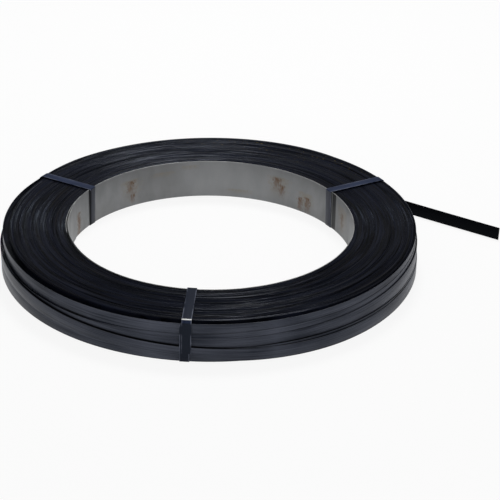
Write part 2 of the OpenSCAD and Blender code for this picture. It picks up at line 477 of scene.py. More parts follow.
# %% Noise on the turn edges
def turn_noise(tree, outwards, around, number, pace):
    """Noise that changes round the coil, and at a pace with a number that belongs to the turn."""
    slow = put(tree, "ShaderNodeVectorMath", {"operation": "SCALE"}, {0: outwards, "Scale": around})
    ring = vector(tree, z=calc(tree, "MULTIPLY", number, pace))
    where = put(tree, "ShaderNodeVectorMath", {"operation": "ADD"}, {0: slow.outputs[0], 1: ring})
    return noise(tree, where.outputs[0])


def by_turns(tree, turn, count):
    """The number of the group of so many turns that a turn belongs to."""
    return calc(tree, "FLOOR", calc(tree, "DIVIDE", turn, count))


print("noise on the turn edges ready")

# %% [markdown]
# The edges are very dark. Three such noises, by groups of four turns, by single turns and broader, set
# their tone and gloss. Some groups are browner, and specks of rust yellow a few turns at the back.

# %% Finish: turn edges
RING_DARK, RING_LIGHT = (0.0003, 0.0004, 0.0008), (0.0088, 0.0106, 0.0195)
RING_BROWN, YELLOW_RUST = (0.0095, 0.0082, 0.0078), (0.15, 0.11, 0.035)
RING_CONTRAST, RING_ROUGH, RING_GLOSS = (0.40, 0.60), (0.34, 0.2), 0.07
SPECK_SCALE = 210.0
RUST_ANGLE, RUST_FAR, RUST_CLOSE = 70, 40, 15
RUST_RADII = (235, 280)
edge_black, tree, shader = new_material("turn_edge_black")
place = use(tree, place_group).outputs
turn = put(tree, "ShaderNodeAttribute", {"attribute_name": "turn"}).outputs["Fac"]
# Each noise has its share, how fast it changes round the coil, its number, and its pace with that.
ring_noises = (
    (0.55, 3.0, by_turns(tree, turn, 4), 5.37),
    (0.25, 9.0, by_turns(tree, turn, 1), 3.71),
    (0.2, 1.5, turn, 0.09),
)
rings = calc(tree, "ADD", *(
    calc(tree, "MULTIPLY", turn_noise(tree, place["Outwards"], around, number, pace), share)
    for share, around, number, pace in ring_noises))
tone = coat(tree, ramp(tree, rings, *RING_CONTRAST), RING_DARK, RING_LIGHT)
brown = turn_noise(tree, place["Outwards"], 2.0, by_turns(tree, turn, 5), 7.13)
tone = coat(tree, ramp(tree, brown, 0.58, 0.68, 0.0, 0.5), tone, RING_BROWN)
specks = ramp(tree, noise(tree, object_place(tree), SPECK_SCALE, 2.0), 0.655, 0.72)
at_back = near(tree, place["Angle"], RUST_ANGLE, RUST_FAR, RUST_CLOSE)
rust = calc(tree, "MULTIPLY", specks, at_back, ramp(tree, place["Radius"], *RUST_RADII))
feed(tree, shader["Base Color"], coat(tree, rust, tone, YELLOW_RUST))
feed(tree, shader["Roughness"], ramp(tree, rings, *RING_CONTRAST, *RING_ROUGH))
shader["Specular IOR Level"].default_value = RING_GLOSS
shader["Specular Tint"].default_value = LACQUER_TINT
print("finish", edge_black.name)

# %% [markdown]
# The core hoop is bare cold-rolled sheet, dull grey with fine upright streaks and cloudy darker places.
# Paler upright bands and a paler stretch at the back are painted sheen. Its edges are bright where the
# sheet was cut.

# %% Finish: bare hoop, the steel
SHEET_DARK, SHEET_LIGHT = (0.214, 0.219, 0.224), (0.246, 0.252, 0.257)
SHEET_CLOUD, SHEET_PAINTED_SHEEN, SHEET_PAINTED_BACK_SHEEN = (0.15, 0.15, 0.15), (0.28, 0.286, 0.292), (0.285, 0.291, 0.297)
CLOUD_SCALE, PAINTED_SHEEN_PACE = 14.0, 5.0
BACK_SHEEN_ANGLE, BACK_SHEEN_FAR, BACK_SHEEN_CLOSE, BACK_SHEEN_STRENGTH = 84, 34, 6, 0.6
hoop_steel, tree, shader = new_material("bare_hoop_steel")
lines = use(tree, marks_group, {"Per Metre": 60.0, "Lines": 0.7, "Edge From": 0.975}).outputs
place = use(tree, place_group).outputs
tone = coat(tree, ramp(tree, lines["Streak"], 0.3, 0.7), SHEET_DARK, SHEET_LIGHT)
cloud = noise(tree, object_place(tree), CLOUD_SCALE, 3.0)
tone = coat(tree, ramp(tree, cloud, 0.5, 0.75, 0.0, 0.5), tone, SHEET_CLOUD)
# Paler upright bands round the hoop and a paler stretch at the back are painted sheen.
outwards = put(tree, "ShaderNodeVectorMath", {"operation": "SCALE"}, {
    0: place["Outwards"], "Scale": PAINTED_SHEEN_PACE})
tone = coat(tree, ramp(tree, noise(tree, outwards.outputs[0]), 0.45, 0.7, 0.0, 0.5), tone, SHEET_PAINTED_SHEEN)
at_back = near(tree, place["Angle"], BACK_SHEEN_ANGLE, BACK_SHEEN_FAR, BACK_SHEEN_CLOSE, BACK_SHEEN_STRENGTH)
tone = coat(tree, at_back, tone, SHEET_PAINTED_BACK_SHEEN)
print("steel of", hoop_steel.name)

# %% [markdown]
# Rust has run down the hoop in a few places, and wider, paler patches lie round the runs. Each stain is
# an angle, a half width in degrees, and its upper and lower height. Painted shadows lie beside the
# inner legs of the left and right ties.

# %% Finish: bare hoop, its stains and painted shadows
PATCHES = ((112, 6, 45, 36), (79, 7, 14, 6), (127, 6, 44, 6), (61, 6, 46, 8), (47, 5, 34, 0),
           (20, 6, 48, 2), (100, 5, 52, 44))
RUNS = ((161.3, 2.2, 36, -40), (161, 1.5, 30, -30), (127, 2.6, 42, 14), (126.4, 1.4, 20, 2),
        (62, 2.2, 44, 20), (59.5, 1.8, 34, 10), (50, 1.6, 24, -12), (46, 2.0, 27, -8), (21, 2.0, 38, 2))
PATCH_TAN, RUN_BROWN, LEG_SHADOW = (0.24, 0.205, 0.155), (0.13, 0.074, 0.042), (0.004, 0.004, 0.005)
PATCH_STRENGTH, RUN_STRENGTH, LEG_SHADOW_STRENGTH = 0.55, 0.95, 0.93
LEG_SHADOWS, LEG_SHADOW_EDGE = ((149.0, 151.9), (26.9, 29.8)), 0.3
CUT_EDGE = (0.44, 0.44, 0.435)
HOOP_ROUGH, HOOP_METALLIC, HOOP_GLOSS = (0.55, 0.4), 0.5, 0.15
for stains, colour, strength in ((PATCHES, PATCH_TAN, PATCH_STRENGTH), (RUNS, RUN_BROWN, RUN_STRENGTH)):
    for at, half, top, bottom in stains:
        stain = use(tree, stain_group, {"At": at, "Half Width": half, "Top": top, "Bottom": bottom})
        tone = coat(tree, calc(tree, "MULTIPLY", stain.outputs["Mask"], strength), tone, colour)
# Painted shadows on the hoop beside the inner legs of the left and right ties.
for start, end in LEG_SHADOWS:
    leg_shadow = within(tree, place["Angle"], start, end, LEG_SHADOW_EDGE, LEG_SHADOW_STRENGTH)
    tone = coat(tree, leg_shadow, tone, LEG_SHADOW)
feed(tree, shader["Base Color"], coat(tree, lines["Edge"], tone, CUT_EDGE))
feed(tree, shader["Roughness"], ramp(tree, lines["Streak"], 0.3, 0.7, *HOOP_ROUGH))
shader["Metallic"].default_value = HOOP_METALLIC
shader["Specular IOR Level"].default_value = HOOP_GLOSS
print("finish", hoop_steel.name, "with", len(RUNS) + len(PATCHES), "stains")

# %% [markdown]
# The ends of the winding: 158 turns, each a small crest with a valley to the next one. A grid is
# bent into a disc: its columns are crests and valleys, its rows go round. The outer rim is a little off
# centre. The number of the turn is stored while the grid is flat, for the finish to read.

# %% Tree: turn edges on an end, the grid
end_tree = bpy.data.node_groups.new("turn_edges", "GeometryNodeTree")
sockets(end_tree, [
    ("Geometry", "Geometry"), ("Turns", "Int", 158), ("Segments", "Int", 128),
    ("Inner Radius", "Float", 0.204), ("Outer Radius", "Float", 0.286), ("Off Centre", "Float", 0.0025),
    ("Off Centre Angle", "Float", 0.35), ("Face", "Float", 0.0584), ("Side", "Float", 1.0),
    ("Relief", "Float", 0.0006), ("Tilt", "Float", 0.0012), ("Groove", "Float", 0.00012),
    ("Burr", "Float", 0.2), ("Rim", "Float", 0.00035), ("Shoulder", "Float", 0.0006),
    ("Shoulder From", "Float", 0.95), ("Material", "Material"),
], [("Geometry", "Geometry")])
tree = end_tree
given = put(tree, "NodeGroupInput").outputs
columns = calc(tree, "MULTIPLY", given["Turns"], 2)
grid = put(tree, "GeometryNodeMeshGrid", None, {
    "Size X": columns, "Size Y": given["Segments"],
    "Vertices X": calc(tree, "ADD", columns, 1), "Vertices Y": calc(tree, "ADD", given["Segments"], 1)})
flat = parts_of(tree, put(tree, "GeometryNodeInputPosition").outputs[0])
column = calc(tree, "ROUND", calc(tree, "ADD", flat[0], calc(tree, "DIVIDE", columns, 2)))
row = calc(tree, "ADD", flat[1], calc(tree, "DIVIDE", given["Segments"], 2))
counted = put(tree, "GeometryNodeStoreNamedAttribute", {"data_type": "FLOAT", "domain": "POINT"}, {
    "Geometry": grid.outputs[0], "Name": "turn", "Value": calc(tree, "DIVIDE", column, 2)})
angle = calc(tree, "MULTIPLY", calc(tree, "DIVIDE", row, given["Segments"]), math.tau)
cosine, sine = calc(tree, "COSINE", angle), calc(tree, "SINE", angle)
lean = calc(tree, "COSINE", calc(tree, "SUBTRACT", angle, given["Off Centre Angle"]))
outer = calc(tree, "ADD", given["Outer Radius"], calc(tree, "MULTIPLY", lean, given["Off Centre"]))
width = calc(tree, "SUBTRACT", outer, given["Inner Radius"])
part = calc(tree, "DIVIDE", column, columns)
print("grid of an end,", len(tree.nodes), "nodes so far")

# %% [markdown]
# Noise sets how far each turn stands back, and how far each group of four turns stands back and leans.
# A turn has two columns, so a group has eight. The noise changes slowly round the coil, as the turns
# wander in a real winding.

# %% Tree: turn edges on an end, the relief
GROUP_COLUMNS = 8


def ring_noise(tree, number, pace, around):
    """Noise from 0 to 1 that changes at a pace with a number, and slowly round the coil."""
    where = vector(tree, calc(tree, "MULTIPLY", cosine, around), calc(tree, "MULTIPLY", sine, around),
                   calc(tree, "MULTIPLY", number, pace))
    return ramp(tree, noise(tree, where), 0.3, 0.7)


in_groups = calc(tree, "DIVIDE", column, GROUP_COLUMNS)
group = calc(tree, "FLOOR", in_groups)
across_group = calc(tree, "SUBTRACT", in_groups, calc(tree, "ADD", group, 0.5))
uneven = calc(tree, "ADD", calc(tree, "MULTIPLY", ring_noise(tree, group, 5.37, 0.9), 0.6),
              calc(tree, "MULTIPLY", ring_noise(tree, column, 0.7, 1.2), 0.4))
slope = calc(tree, "SUBTRACT", ring_noise(tree, group, 3.13, 1.1), 0.5)
tilt = calc(tree, "ADD", 0.5, calc(tree, "MULTIPLY", across_group, slope))
deep = calc(tree, "ADD", 0.3, calc(tree, "MULTIPLY", ring_noise(tree, group, 7.71, 1.4), 1.4))
crest = calc(tree, "MODULO", column, 2)
valley = calc(tree, "MULTIPLY", calc(tree, "SUBTRACT", 1, crest), deep)
back = calc(tree, "ADD", calc(tree, "MULTIPLY", uneven, given["Relief"]),
            calc(tree, "MULTIPLY", valley, given["Groove"]), calc(tree, "MULTIPLY", tilt, given["Tilt"]))
print("relief of an end,", len(tree.nodes), "nodes so far")

# %% [markdown]
# The two rims keep a fixed height, so that the walls of the winding meet them. The outermost turns of
# the top have sunk to a shoulder, and each crest leans outwards by the burr of its slit edge.

# %% Tree: turn edges on an end, bent to a disc
is_rim = calc(tree, "MAXIMUM", calc(tree, "LESS_THAN", column, 0.5),
              calc(tree, "GREATER_THAN", column, calc(tree, "SUBTRACT", columns, 0.5)))
back = calc(tree, "ADD", calc(tree, "MULTIPLY", back, calc(tree, "SUBTRACT", 1, is_rim)),
            calc(tree, "MULTIPLY", is_rim, given["Rim"]))
near_rim = calc(tree, "POWER", ramp(tree, part, given["Shoulder From"], 1.0), 1.5)
back = calc(tree, "ADD", back, calc(tree, "MULTIPLY", near_rim, given["Shoulder"]))
burr = calc(tree, "DIVIDE", calc(tree, "MULTIPLY", width, given["Burr"]), columns)
radius = calc(tree, "ADD", given["Inner Radius"], calc(tree, "MULTIPLY", part, width),
              calc(tree, "MULTIPLY", crest, burr))
height = calc(tree, "SUBTRACT", given["Face"], calc(tree, "MULTIPLY", back, given["Side"]))
x, y = calc(tree, "MULTIPLY", radius, cosine), calc(tree, "MULTIPLY", radius, sine)
bent = put(tree, "GeometryNodeSetPosition", None, {
    "Geometry": counted.outputs[0], "Position": vector(tree, x, y, height)})


def close_tree(tree, made, material):
    """Ends a Geometry Nodes tree: real geometry with its material."""
    real = put(tree, "GeometryNodeRealizeInstances", None, {0: made.outputs[0]})
    dressed = put(tree, "GeometryNodeSetMaterial", None, {"Geometry": real.outputs[0], "Material": material})
    put(tree, "NodeGroupOutput", None, {0: dressed.outputs[0]})
    print("tree", tree.name, len(tree.nodes), "nodes")


close_tree(tree, bent, given["Material"])

# %% [markdown]
# The two ends of the winding come from the tree. The turns have settled a little below the top of the
# core hoop.

# %% The winding's ends
TURNS, SEGMENTS = 158, 128
WOUND_R1 = 286.0 * MM
RIM, SHOULDER, SETTLED = 0.35 * MM, 0.6 * MM, 0.6 * MM
OFF_CENTRE, OFF_CENTRE_ANGLE = 2.5 * MM, 20
RELIEF, TILT, GROOVE, BURR = 0.6 * MM, 1.2 * MM, 0.12 * MM, 0.2
SHOULDER_FROM = 0.95


def wound_end(face, side, shoulder):
    """One end of the winding, with its face at a height and its back to one side."""
    return shape_by_nodes("end", end_tree, bpy.data.meshes.new("nothing"), {
        "Turns": TURNS, "Segments": SEGMENTS, "Inner Radius": WOUND_R0, "Outer Radius": WOUND_R1,
        "Off Centre": OFF_CENTRE, "Off Centre Angle": math.radians(OFF_CENTRE_ANGLE), "Face": face,
        "Side": side, "Relief": RELIEF, "Tilt": TILT, "Groove": GROOVE, "Burr": BURR, "Rim": RIM,
        "Shoulder": shoulder, "Shoulder From": SHOULDER_FROM, "Material": edge_black})


ends = [wound_end(TOP_OF_COIL - SETTLED, 1.0, SHOULDER), wound_end(FLOOR_OF_COIL, -1.0, 0.0)]
print("ends of", TURNS, "turns")

# %% [markdown]
# The walls are lines of radius and height, turned round the axis. A ledge below the top rim shows where
# the last turns of the top lane have slipped down, and each lane below stands out a little further. The
# turns lie loosest opposite the place where the free end leaves, so the outside swells there.

# %% The winding's walls
LEDGE = 9 * MM
LANE_WALL = (290.3 * MM, 289.7 * MM, 289.0 * MM)
LANE_JOINT = 0.05
SWELL = 1.6 * MM
TAIL_ANGLE = 56.5


def swell(angle):
    """How much further out the loose turns lie: not at all where the free end leaves, most opposite it."""
    return SWELL * (0.5 - 0.5 * math.cos(math.radians(angle - TAIL_ANGLE)))


def tight(angle):
    """How far the rim of the tight turns is off centre."""
    return OFF_CENTRE * math.cos(math.radians(angle - OFF_CENTRE_ANGLE))


def still(angle):
    """The bore is round."""
    return 0.0


outside = [
    (WOUND_R1, TOP_OF_COIL - SETTLED - RIM - SHOULDER, tight),
    (WOUND_R1, TOP_OF_COIL - LEDGE, tight),
    (LANE_WALL[2], TOP_OF_COIL - LEDGE, swell),
]
for lane in (2, 1):
    joint = lane_top(lane - LANE_JOINT)
    outside += [(LANE_WALL[lane], joint, swell), (LANE_WALL[lane - 1], joint, swell)]
outside += [(LANE_WALL[0], FLOOR_OF_COIL + RIM, swell), (WOUND_R1, FLOOR_OF_COIL + RIM, tight)]
bore_side = [(WOUND_R0, FLOOR_OF_COIL + RIM, still), (WOUND_R0, TOP_OF_COIL - SETTLED - RIM, still)]
print("walls of", len(outside), "and", len(bore_side), "lines")

# %% [markdown]
# Ends and walls are joined into one closed body: their rims are merged, and the faces are turned
# outwards. A closed body has no open edges.

# %% The winding, joined
MERGED = 0.01 * MM
TURN_CREASE = 25
bm = bmesh.new()
for mesh in ends:
    bm.from_mesh(mesh)
    bpy.data.meshes.remove(mesh)
round_angles = [360 * i / SEGMENTS for i in range(SEGMENTS)]
for wall in (outside, bore_side):
    rows = [[bm.verts.new(polar(a, r + more(a), z)) for a in round_angles] for r, z, more in wall]
    for upper, lower in zip(rows, rows[1:]):
        for i in range(SEGMENTS):
            j = (i + 1) % SEGMENTS
            bm.faces.new((upper[i], upper[j], lower[j], lower[i]))
bmesh.ops.remove_doubles(bm, verts=bm.verts, dist=MERGED)
bmesh.ops.recalc_face_normals(bm, faces=bm.faces)
print("open edges", sum(e.is_boundary for e in bm.edges), "volume litres", round(bm.calc_volume() * 1000, 3))
winding_mesh = bpy.data.meshes.new("winding")
bm.to_mesh(winding_mesh)
bm.free()
winding_mesh.materials.append(edge_black)
show("winding", winding_mesh, "strapping_coil", sharp=TURN_CREASE)

# %% [markdown]
# Strap, hoop and ties are all flat bands along a path. One tree makes them: the path is a row of
# points, each with the direction that the band faces, and a rectangle with eased edges is swept along it.
# The tree also stores the numbers along and across, which the finishes read.

# %% Tree: band along a path
EASED_STEPS = 2
band_tree = bpy.data.node_groups.new("band_along_path", "GeometryNodeTree")
sockets(band_tree, [
    ("Geometry", "Geometry"), ("Width", "Float", 0.019), ("Thickness", "Float", 0.0005),
    ("Edge Radius", "Float", 0.00012), ("Material", "Material"),
], [("Geometry", "Geometry")])
tree = band_tree
given = put(tree, "NodeGroupInput").outputs
path = put(tree, "GeometryNodeMeshToCurve", None, {0: given["Geometry"]})
facing = put(tree, "GeometryNodeInputNamedAttribute", {"data_type": "FLOAT_VECTOR"}, {"Name": "facing"})
turned = put(tree, "GeometryNodeSetCurveNormal", {"mode": "FREE"}, {
    "Curve": path.outputs[0], "Normal": facing.outputs["Attribute"]})
measured = put(tree, "GeometryNodeStoreNamedAttribute", {"data_type": "FLOAT", "domain": "POINT"}, {
    "Geometry": turned.outputs[0], "Name": "along",
    "Value": put(tree, "GeometryNodeSplineParameter").outputs["Length"]})
section = put(tree, "GeometryNodeCurvePrimitiveQuadrilateral", {"mode": "RECTANGLE"}, {
    "Width": given["Thickness"], "Height": given["Width"]})
eased = put(tree, "GeometryNodeFilletCurve", {"mode": "POLY"}, {
    "Curve": section.outputs[0], "Count": EASED_STEPS, "Radius": given["Edge Radius"]})
flat = parts_of(tree, put(tree, "GeometryNodeInputPosition").outputs[0])
ruled = put(tree, "GeometryNodeStoreNamedAttribute", {"data_type": "FLOAT", "domain": "POINT"}, {
    "Geometry": eased.outputs[0], "Name": "across",
    "Value": calc(tree, "DIVIDE", calc(tree, "MULTIPLY", flat[1], 2), given["Width"])})
swept = put(tree, "GeometryNodeCurveToMesh", None, {
    "Curve": measured.outputs[0], "Profile Curve": ruled.outputs[0], "Fill Caps": True})
close_tree(tree, swept, given["Material"])

# %% [markdown]
# A path is a mesh of points and edges, and the directions are an attribute on its points. The swept
# band is closed at both ends, and its faces are turned outwards.

# %% From points to a band
STRAP_EDGE = 0.12 * MM


def band_mesh(name, points, width, thick, material, edge=STRAP_EDGE):
    """A band along points of (place, direction that it faces)."""
    base = bpy.data.meshes.new(name + "_path")
    base.from_pydata([place for place, _ in points], [(i, i + 1) for i in range(len(points) - 1)], [])
    facing = base.attributes.new("facing", "FLOAT_VECTOR", "POINT")
    for i, (_, direction) in enumerate(points):
        facing.data[i].vector = direction
    mesh = shape_by_nodes(name, band_tree, base, {
        "Width": width, "Thickness": thick, "Edge Radius": edge, "Material": material})
    bm = bmesh.new()
    bm.from_mesh(mesh)
    bmesh.ops.recalc_face_normals(bm, faces=bm.faces)
    bm.to_mesh(mesh)
    bm.free()
    return mesh


print("bands with edges of", round(STRAP_EDGE / MM, 2), "mm")

# %% [markdown]
# The last five turns lie loose over the lanes, and they are one strap. Each stop gives an angle, the
# lane that the strap is in and its outer radius in millimetres, and a smooth curve runs through the stops.
# From the free end the strap climbs to the middle lane at the left, comes down again across the front
# and bulges there. The turns under it fan out to the right, and the fifth lies slipped down in the top lane.

# %% The stops of the last turns
LAST_TURNS = (
    ((56.5, 1.0, 293.0), (75, 1.06, 294.2), (110, 1.28, 295.2), (160, 1.75, 295.5), (180, 1.88, 295.6),
     (200, 1.93, 296.0), (220, 1.72, 296.2), (240, 1.47, 296.2), (262, 1.18, 295.5), (278, 1.035, 295.8),
     (290, 0.975, 296.7), (304, 0.963, 297.2), (314, 0.967, 296.4), (326, 0.98, 295.1), (338, 0.995, 294.2),
     (350, 1.0, 293.9), (370, 1.0, 293.7), (395, 1.0, 293.1)),
    ((56.5, 1.0, 292.4), (75, 1.0, 293.4), (110, 1.0, 294.4), (200, 1.0, 295.3), (240, 1.0, 295.4),
     (255, 1.0, 294.9), (268, 1.0, 294.5), (280, 1.03, 294.9), (290, 1.085, 295.5), (304, 1.115, 295.8),
     (320, 1.115, 294.8), (336, 1.13, 293.5), (350, 1.18, 293.2), (370, 1.3, 292.9), (395, 1.5, 292.3)),
    ((56.5, 1.62, 291.7), (75, 1.7, 292.2), (110, 1.85, 293.1), (160, 1.9, 293.6), (205, 1.835, 293.2),
     (230, 1.815, 292.7), (245, 1.785, 292.5), (260, 1.71, 292.4), (270, 1.7, 292.4), (290, 1.785, 292.9),
     (310, 1.93, 293.4), (325, 2.055, 293.3), (340, 2.2, 293.3), (365, 2.26, 292.6), (395, 2.22, 291.9)),
    ((56.5, 2.1, 291.1), (75, 2.04, 291.6), (110, 1.96, 292.5), (160, 1.88, 293.0), (210, 1.79, 292.4),
     (236, 1.79, 292.0), (252, 1.955, 291.9), (270, 2.075, 291.8), (290, 2.205, 291.8), (310, 2.315, 291.8),
     (325, 2.44, 291.5), (340, 2.55, 291.3), (365, 2.7, 291.3), (395, 2.85, 291.4)),
    ((56.5, 3.0, 291.4), (75, 3.0, 291.3), (100, 2.95, 290.9), (120, 2.9, 291.4), (135, 2.88, 291.9),
     (150, 2.85, 290.4), (162, 2.83, 292.1), (175, 2.81, 292.2), (190, 2.8, 291.7), (210, 2.8, 291.3),
     (250, 2.79, 291.1), (290, 2.8, 291.0), (310, 2.86, 291.0), (330, 2.93, 290.8), (345, 2.99, 290.7),
     (390, 3.0, 290.7), (416, 3.0, 290.3), (440, 3.0, 289.0), (470, 2.99, 286.4), (495, 2.98, 283.5)),
)
UNDER_TURN = ((270, 1.5, 290.8), (300, 1.55, 291.8), (325, 1.65, 292.0), (345, 1.7, 291.9),
              (375, 1.75, 291.2), (400, 1.75, 290.8), (420, 1.75, 289.2))
last_stops = [(angle + 360 * k, lane, r) for k, turn in enumerate(LAST_TURNS) for angle, lane, r in turn]
under_stops = [(angle + 360, lane, r) for angle, lane, r in UNDER_TURN]
print(len(last_stops), "stops on", len(LAST_TURNS), "turns, and", len(under_stops), "on the turn under them")

# %% [markdown]
# Between two stops the curve is a cubic that passes through both with the slopes of their neighbours.
# On the last turn the strap leans: its upper edge stands off at the left and front.

# %% A smooth path through the stops
PATH_STEP = 2.0
LEAN_OUT = 0.11
LEAN_FROM, LEAN_TO = 180, 330


def lean_out(angle):
    """Slope of the last turn, whose upper edge stands off."""
    s = (angle - LEAN_FROM) / (LEAN_TO - LEAN_FROM)
    return LEAN_OUT * math.sin(math.pi * s) if 0 < s < 1 else 0.0


def cubic(before, a, b, after, s, k):
    """Value k of the stops, a share s of the way from a to b."""
    span = b[0] - a[0]
    slope_a = (b[k] - before[k]) / (b[0] - before[0]) * span
    slope_b = (after[k] - a[k]) / (after[0] - a[0]) * span
    return ((2 * s**3 - 3 * s**2 + 1) * a[k] + (s**3 - 2 * s**2 + s) * slope_a
            + (3 * s**2 - 2 * s**3) * b[k] + (s**3 - s**2) * slope_b)


def smooth_path(stops):
    """Points every few degrees on a smooth curve through stops of (angle, lane, radius in mm)."""
    points = []
    i = 0
    for n in range(round((stops[-1][0] - stops[0][0]) / PATH_STEP) + 1):
        angle = stops[0][0] + n * PATH_STEP
        while i < len(stops) - 2 and stops[i + 1][0] <= angle:
            i += 1
        a, b = stops[i], stops[i + 1]
        before, after = stops[max(i - 1, 0)], stops[min(i + 2, len(stops) - 1)]
        s = (angle - a[0]) / (b[0] - a[0])
        lane, r = (cubic(before, a, b, after, s, k) for k in (1, 2))
        place = polar(angle, r * MM - STRAP_T / 2, lane_top(lane) - STRAP_W / 2)
        points.append((place, polar(angle, 1, -lean_out(angle))))
    return points


last = smooth_path(last_stops)
print(len(last), "points")

# %% [markdown]
# The free end runs off straight along the tangent, with a slight bow. It droops until its edge is just
# off the floor, and leans back a little. Its inner face gets the dull finish: it is found by its
# distance from the coil's axis and by the way it faces.

# %% The last turns and the free end
TAIL_LEN, TAIL_STEPS = 309 * MM, 31
TAIL_DROOP, TAIL_BOW = 0.7 * MM, 1.4 * MM
TAIL_LEAN = math.radians(5)
TAIL_FROM = 300 * MM
FACES_OUT = 0.3
start, outward = last[0]
leaving = polar(TAIL_ANGLE - 90, 1)
down = Vector((0, 0, -1))
tail = []
for k in range(TAIL_STEPS, 0, -1):
    s = k / TAIL_STEPS
    lean = TAIL_LEAN * min(2 * s, 1)
    at = start + leaving * TAIL_LEN * s + down * TAIL_DROOP * min(3 * s, 1)
    at -= outward * TAIL_BOW * math.sin(math.pi * s)
    tail.append((at, outward * math.cos(lean) + down * math.sin(lean)))
mesh = band_mesh("last_turns", tail + last, STRAP_W, STRAP_T, black_strap)
mesh.materials.append(strap_inside)
for face in mesh.polygons:
    if face.center.xy.length > TAIL_FROM and face.normal.dot(outward) < FACES_OUT:
        face.material_index = 1
show("last_turns", mesh, "strapping_coil")
mesh = band_mesh("under_turn", smooth_path(under_stops), STRAP_W, STRAP_T, black_strap)
show("under_turn", mesh, "strapping_coil")

# %% [markdown]
# The core hoop is one bent strip. Its inner end laps over its outer end at the left, where it has sprung
# in a little, and past the lap the strip steps out against the turns. Its edges are eased, so that the
# top one catches the light.

# %% The core hoop
LAP_FROM, LAP_TO, STEP_TO = 165, 193, 240
SPRUNG, SPRUNG_OVER = 1.8 * MM, 8
BEND_STEP = 2.5
SHEET_SLACK = 0.02 * MM
HOOP_W, HOOP_EDGE = TOP_OF_COIL - FLOOR_OF_COIL, 0.2 * MM


def hoop_radius(angle):
    """Middle of the sheet, from the inner end of the lap round to the outer one."""
    inner, outer = BORE_R - HOOP_T / 2, BORE_R + HOOP_T / 2
    if angle <= LAP_TO:
        return inner - SPRUNG * min((angle - LAP_FROM) / SPRUNG_OVER, 1)
    inner -= SPRUNG
    s = min((angle - LAP_TO) / (STEP_TO - LAP_TO), 1)
    return inner + (outer - inner) * s * s * (3 - 2 * s)


middle = (FLOOR_OF_COIL + TOP_OF_COIL) / 2
bends = [LAP_FROM + BEND_STEP * k for k in range(int((360 + LAP_TO - LAP_FROM) / BEND_STEP) + 1)]
points = [(polar(a, hoop_radius(a), middle), polar(a, 1)) for a in bends]
mesh = band_mesh("hoop_strip", points, HOOP_W, HOOP_T - SHEET_SLACK, hoop_steel, HOOP_EDGE)
show("hoop_strip", mesh, "core_hoop")

# %% [markdown]
# A tie goes once round the section of the coil and its ends lap on the outer face. Its path is a row of
# corners in radius and height, and this function rounds each corner with an arc.

# %% Round corners
CORNER_STEPS = 6


def left_of(run):
    """The direction to the left of travel."""
    return Vector((-run.y, run.x))


def round_corners(corners, bends):
    """Points on a path through corners, each bent to a radius, with the direction to the left of travel."""
    flat = [Vector(corner) for corner in corners]
    runs = [(b - a).normalized() for a, b in zip(flat, flat[1:])]
    path = [(flat[0], left_of(runs[0]))]
    for corner, before, after, bend in zip(flat[1:], runs, runs[1:], bends[1:]):
        turn = math.atan2(before.x * after.y - before.y * after.x, before.dot(after))
        start = corner - before * bend * abs(math.tan(turn / 2))
        left = left_of(before)
        centre = start + left * math.copysign(bend, turn)
        for k in range(CORNER_STEPS + 1):
            spin = Matrix.Rotation(turn * k / CORNER_STEPS, 2)
            path.append((centre + spin @ (start - centre), spin @ left))
    path.append((flat[-1], left_of(runs[-1])))
    return path


print("bends of", CORNER_STEPS, "steps")

# %% [markdown]
# The top run ends at the rim, drops over the ledge to the slipped turns, slants out to the knee where the
# last turn holds it off, and goes straight down. The under end lies a little to one side of the over end,
# as far as the foot.

# %% The path of a tie
TIE_W, TIE_T, TIE_SKEW, TIE_GAP = 13 * MM, 0.5 * MM, 2.5 * MM, 0.3 * MM
TIE_BEND, RIM_BEND = 0.65 * MM, 2.6 * MM
AT_RIM, AT_LEDGE = 6, 7
OVER_END, FOOT_TOP, UNDER_START = 13.5 * MM, 6 * MM, 1.5 * MM
LEG_LEAN = 1.4 * MM
SPARE = 0.05 * MM
TIE_LAP = TIE_T + SPARE
UNDER_BENDS = 3
UNDER_POINTS = 1 + UNDER_BENDS * (CORNER_STEPS + 1)


def tie_path(angle_in, angle_out, rim, ledge, knee, foot):
    """Points round the section, from the under end to the over end, at angles at the bore and outside."""
    inner = BORE_R - TIE_GAP - TIE_T / 2
    low, high = TIE_T / 2 + SPARE, TOP_OF_COIL + TIE_GAP + TIE_T / 2 - SPARE
    rim, ledge_r, ledge_z, knee_r, knee_z, foot = (v * MM for v in (rim, *ledge, *knee, foot))
    under_r = ledge_r + (knee_r - ledge_r) * UNDER_START / (ledge_z - knee_z)
    corners = [(under_r, ledge_z - UNDER_START), (knee_r, knee_z), (knee_r, FOOT_TOP), (foot, low),
               (inner, low), (inner - LEG_LEAN, high), (rim, high), (ledge_r + TIE_LAP, ledge_z),
               (knee_r + TIE_LAP, knee_z), (knee_r + TIE_LAP, OVER_END)]
    bends = [TIE_BEND] * len(corners)
    bends[AT_RIM], bends[AT_LEDGE] = RIM_BEND, RIM_BEND / 2
    points = []
    for i, (at, out) in enumerate(round_corners(corners, bends)):
        angle = angle_in + (angle_out - angle_in) * (at.x - inner) / (knee_r - inner)
        skew = TIE_SKEW if i < UNDER_POINTS else 0.0
        place = polar(angle, at.x, at.y) + polar(angle - 90, skew)
        points.append((place, polar(angle, out.x, out.y)))
    return points


print("ties of", round(TIE_W / MM), "mm")

# %% [markdown]
# Each tie has its two angles, the radius where its top run ends, the ledge and the knee as radius and
# height, and the radius of its foot, in millimetres.

